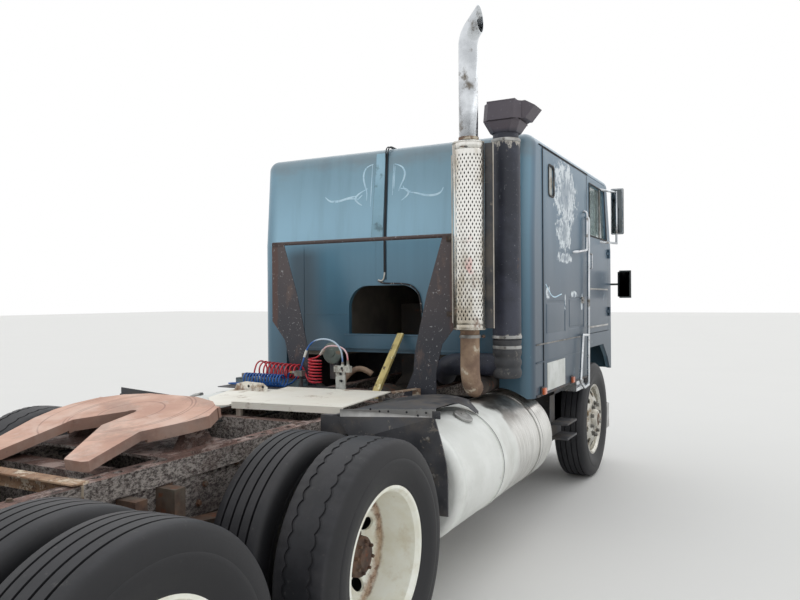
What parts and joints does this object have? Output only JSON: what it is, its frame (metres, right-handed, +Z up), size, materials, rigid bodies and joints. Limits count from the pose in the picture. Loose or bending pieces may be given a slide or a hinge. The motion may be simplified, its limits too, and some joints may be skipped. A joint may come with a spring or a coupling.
{
  "type": "semi truck tractor unit",
  "caption": "Cab-over semi tractor with sleeper cab, tandem drive axles, fifth wheel, side fuel tanks and tall exhaust and intake stacks.",
  "frame": {"origin": "on the ground under the middle of the whole vehicle", "axes": "+Z up, front towards -Y, +X the driver's left side"},
  "size_m": [2.74, 6.99, 3.5552],
  "materials": {
    "chassis_black": "dull, rusty",
    "bright_metal": "weathered bright metal",
    "engine_grey": "dull",
    "tank_metal": "part painted white, part bare",
    "deck_white": "dirty off-white",
    "intake_black": "worn black",
    "arm_yellow": "faded yellow",
    "coupler_rust": "rusty",
    "cab_blue": "weathered metallic blue",
    "cab_trim": "dark",
    "seat_cloth": "dark cloth",
    "window_glass": "tinted",
    "lamp_red": "gloss",
    "lamp_clear": "gloss",
    "mirror_case": "black",
    "hose_red": "satin",
    "hose_blue": "satin",
    "coupling_metal": "worn",
    "tyre_rubber": "worn",
    "rim_aluminium": "weathered",
    "rim_white": "white with rust"
  },
  "bodies": {
    "chassis": {"frame_rails": "chassis_black", "crossmembers": "chassis_black", "front_bumper": "bright_metal", "engine": "engine_grey", "radiator": "engine_grey", "front_axle": "chassis_black", "leaf_springs": "chassis_black", "drive_axles": "chassis_black", "fuel_tanks": "tank_metal", "tank_straps": "bright_metal", "fenders_and_flaps": "chassis_black", "deck_plate": "deck_white", "stack_frame": "chassis_black", "exhaust": "bright_metal", "heat_shield": "bright_metal", "air_intake": "intake_black", "fifth_wheel_base": "chassis_black", "tail_lamps": "lamp_red", "air_tanks": "chassis_black", "battery_box": "chassis_black", "air_manifold": "deck_white", "cab_prop_arm": "arm_yellow", "hose_red": "hose_red", "hose_blue": "hose_blue", "gladhands": "coupling_metal"},
    "cab": {"cab_floor": "cab_trim", "cab_rear": "cab_blue", "cab_front": "cab_blue", "cab_roof": "cab_blue", "cab_sides": "cab_blue", "cab_glass": "window_glass", "seats_and_mattress": "seat_cloth", "dashboard": "cab_trim", "grille": "bright_metal", "cab_lamps": "lamp_clear", "steps_and_handles": "bright_metal", "corner_mirrors": "bright_metal"},
    "steering_wheel": {"steering_wheel": "cab_trim"},
    "fifth_wheel": {"fifth_wheel_plate": "coupler_rust"},
    "door_right": {"door_right": "cab_blue", "door_glass_right": "window_glass", "door_mirror_right": "mirror_case"},
    "knuckle_right": {"knuckle_right": "chassis_black"},
    "wheel_front_right": {"tyre_front_right": "tyre_rubber", "rim_front_right": "rim_aluminium"},
    "wheels_drive1_right": {"tyres_drive1_right": "tyre_rubber", "rims_drive1_right": "rim_white"},
    "wheels_drive2_right": {"tyres_drive2_right": "tyre_rubber", "rims_drive2_right": "rim_white"},
    "door_left": {"door_left": "cab_blue", "door_glass_left": "window_glass", "door_mirror_left": "mirror_case"},
    "knuckle_left": {"knuckle_left": "chassis_black"},
    "wheel_front_left": {"tyre_front_left": "tyre_rubber", "rim_front_left": "rim_aluminium"},
    "wheels_drive1_left": {"tyres_drive1_left": "tyre_rubber", "rims_drive1_left": "rim_white"},
    "wheels_drive2_left": {"tyres_drive2_left": "tyre_rubber", "rims_drive2_left": "rim_white"}
  },
  "joints": [
    {"name": "cab_tilt", "type": "hinge", "parent": "chassis", "child": "cab", "pos_m": [0, -3.35, 0.7], "axis": [1, 0, 0], "range_deg": [0, 60]},
    {"name": "fifth_wheel_pitch", "type": "hinge", "parent": "chassis", "child": "fifth_wheel", "pos_m": [0, 1.7429, 1.10959], "axis": [1, 0, 0], "range_deg": [0, 20]},
    {"name": "steering_wheel_turn", "type": "hinge", "parent": "cab", "child": "steering_wheel", "pos_m": [0.78, -2.9, 1.96], "axis": [0, 0.3301, 0.944], "range_deg": [-630, 630]},
    {"name": "door_right_hinge", "type": "hinge", "parent": "cab", "child": "door_right", "pos_m": [-1.184, -3.233, 1.9], "axis": [0, 0, 1], "range_deg": [0, 70]},
    {"name": "door_left_hinge", "type": "hinge", "parent": "cab", "child": "door_left", "pos_m": [1.184, -3.233, 1.9], "axis": [0, 0, -1], "range_deg": [0, 70]},
    {"name": "steer_right", "type": "hinge", "parent": "chassis", "child": "knuckle_right", "pos_m": [-0.87, -2.65, 0.527], "axis": [0, 0, 1], "range_deg": [-35, 35]},
    {"name": "steer_left", "type": "hinge", "parent": "chassis", "child": "knuckle_left", "pos_m": [0.87, -2.65, 0.527], "axis": [0, 0, 1], "range_deg": [-35, 35]},
    {"name": "roll_front_right", "type": "hinge", "parent": "knuckle_right", "child": "wheel_front_right", "pos_m": [-1.04, -2.65, 0.527], "axis": [1, 0, 0], "continuous": true},
    {"name": "roll_drive1_right", "type": "hinge", "parent": "chassis", "child": "wheels_drive1_right", "pos_m": [-0.9125, 1.465, 0.527], "axis": [1, 0, 0], "continuous": true},
    {"name": "roll_drive2_right", "type": "hinge", "parent": "chassis", "child": "wheels_drive2_right", "pos_m": [-0.9125, 2.785, 0.527], "axis": [1, 0, 0], "continuous": true},
    {"name": "roll_front_left", "type": "hinge", "parent": "knuckle_left", "child": "wheel_front_left", "pos_m": [1.04, -2.65, 0.527], "axis": [1, 0, 0], "continuous": true},
    {"name": "roll_drive1_left", "type": "hinge", "parent": "chassis", "child": "wheels_drive1_left", "pos_m": [0.9125, 1.465, 0.527], "axis": [1, 0, 0], "continuous": true},
    {"name": "roll_drive2_left", "type": "hinge", "parent": "chassis", "child": "wheels_drive2_left", "pos_m": [0.9125, 2.785, 0.527], "axis": [1, 0, 0], "continuous": true}
  ],
  "couplings": [
    {"joint": "steer_left", "follows": "steer_right", "ratio": 1},
    {"joint": "steering_wheel_turn", "follows": "steer_right", "ratio": 18}
  ]
}
